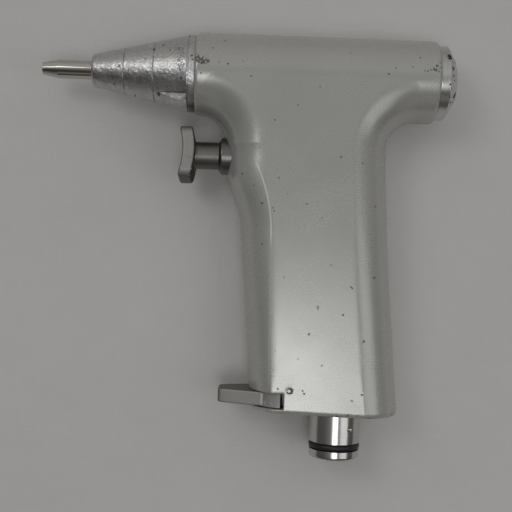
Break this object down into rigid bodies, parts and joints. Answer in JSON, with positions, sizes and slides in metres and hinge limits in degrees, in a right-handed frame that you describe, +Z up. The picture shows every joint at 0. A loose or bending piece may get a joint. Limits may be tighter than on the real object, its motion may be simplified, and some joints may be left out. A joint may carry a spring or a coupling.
{
  "type": "surgical wire driver",
  "caption": "Pistol-grip pneumatic driver for bone wires: hollow nose tube, cone, vane motor in a barrel, push trigger, direction lever and hose stub under the grip.",
  "frame": {"origin": "centre of the nose tube's mouth, on the wire axis", "axes": "+X back along the barrel to the rear cap, -Y down the grip to the hose stub, +Z up as the tool lies on its side"},
  "size_m": [0.1437, 0.1456, 0.0284],
  "materials": {
    "housing_paint": "satin",
    "trigger_paint": "satin",
    "lever_paint": "satin",
    "cone_aluminium": "scuffed satin",
    "polished_cap": "polished",
    "polished_steel": "polished",
    "collar_steel": "turned",
    "gear_steel": "ground",
    "bearing_steel": "polished",
    "spring_steel": "drawn",
    "bronze": "sintered",
    "black_rubber": "matte",
    "vane_plastic": "matte"
  },
  "bodies": {
    "body": {"housing": "housing_paint", "nose_cone": "cone_aluminium", "nose_bushing": "bronze", "spindle_bearing_outer": "bearing_steel", "spindle_bearing_balls": "bearing_steel", "ring_gear": "gear_steel", "motor_front_plate": "gear_steel", "motor_cylinder": "gear_steel", "motor_rear_plate": "gear_steel", "front_rotor_bearing_outer": "bearing_steel", "front_rotor_bearing_balls": "bearing_steel", "rear_rotor_bearing_outer": "bearing_steel", "rear_rotor_bearing_balls": "bearing_steel", "wire_tube": "polished_steel", "rear_cap": "polished_cap", "rear_cap_o_ring": "black_rubber", "trigger_collar": "collar_steel", "trigger_wiper": "black_rubber", "throttle_valve_seat": "bronze", "trigger_spring": "spring_steel", "selector_valve_sleeve": "bronze", "selector_detent_pin": "gear_steel", "hose_connector": "polished_steel", "connector_o_ring": "black_rubber", "inlet_nipple": "polished_steel", "inlet_screen": "bronze"},
    "output_spindle": {"nose_tube": "polished_steel", "collet": "gear_steel", "collet_spring": "spring_steel", "spindle": "gear_steel", "spindle_bearing_inner": "bearing_steel", "planet_pins": "gear_steel", "carrier_plate": "gear_steel"},
    "collet_closer": {"collet_closer": "gear_steel"},
    "planet_1": {"planet_gear_1": "gear_steel"},
    "planet_2": {"planet_gear_2": "gear_steel"},
    "planet_3": {"planet_gear_3": "gear_steel"},
    "motor_rotor": {"rotor": "gear_steel", "vanes": "vane_plastic", "front_rotor_bearing_inner": "bearing_steel", "rear_rotor_bearing_inner": "bearing_steel"},
    "throttle": {"throttle_poppet": "gear_steel"},
    "trigger": {"trigger_pad": "trigger_paint", "trigger_stem": "collar_steel"},
    "selector": {"selector_lever": "lever_paint", "selector_spindle": "gear_steel"}
  },
  "joints": [
    {"name": "spindle_spin", "type": "hinge", "parent": "body", "child": "output_spindle", "pos_m": [0.03, 0, 0], "axis": [1, 0, 0], "continuous": true},
    {"name": "rotor_spin", "type": "hinge", "parent": "body", "child": "motor_rotor", "pos_m": [0.09, 0, 0], "axis": [1, 0, 0], "continuous": true},
    {"name": "planet_1_spin", "type": "hinge", "parent": "output_spindle", "child": "planet_1", "pos_m": [0.063, 0.00675, 0], "axis": [1, 0, 0], "continuous": true},
    {"name": "planet_2_spin", "type": "hinge", "parent": "output_spindle", "child": "planet_2", "pos_m": [0.063, -0.00337, 0.00585], "axis": [1, 0, 0], "continuous": true},
    {"name": "planet_3_spin", "type": "hinge", "parent": "output_spindle", "child": "planet_3", "pos_m": [0.063, -0.00337, -0.00585], "axis": [1, 0, 0], "continuous": true},
    {"name": "trigger_slide", "type": "slide", "parent": "body", "child": "throttle", "axis": [1, 0, 0], "range_m": [0, 0.0055], "stiffness_N_per_m": 700, "springref_m": -0.006, "deforming": ["trigger_spring"]},
    {"name": "trigger_swivel", "type": "hinge", "parent": "throttle", "child": "trigger", "pos_m": [0.06, -0.0283, 0], "axis": [1, 0, 0], "range_deg": [0, 20]},
    {"name": "closer_slide", "type": "slide", "parent": "output_spindle", "child": "collet_closer", "axis": [-1, 0, 0], "range_m": [0, 0.0012], "deforming": ["collet_spring"]},
    {"name": "selector_turn", "type": "hinge", "parent": "body", "child": "selector", "pos_m": [0.0887, -0.1108, 0], "axis": [0, 1, 0], "range_deg": [-30, 30]}
  ],
  "couplings": [
    {"joint": "rotor_spin", "follows": "spindle_spin", "ratio": 3.6},
    {"joint": "planet_1_spin", "follows": "spindle_spin", "ratio": -3.25},
    {"joint": "planet_2_spin", "follows": "spindle_spin", "ratio": -3.25},
    {"joint": "planet_3_spin", "follows": "spindle_spin", "ratio": -3.25},
    {"joint": "closer_slide", "follows": "trigger_slide", "ratio": 0.21818}
  ]
}
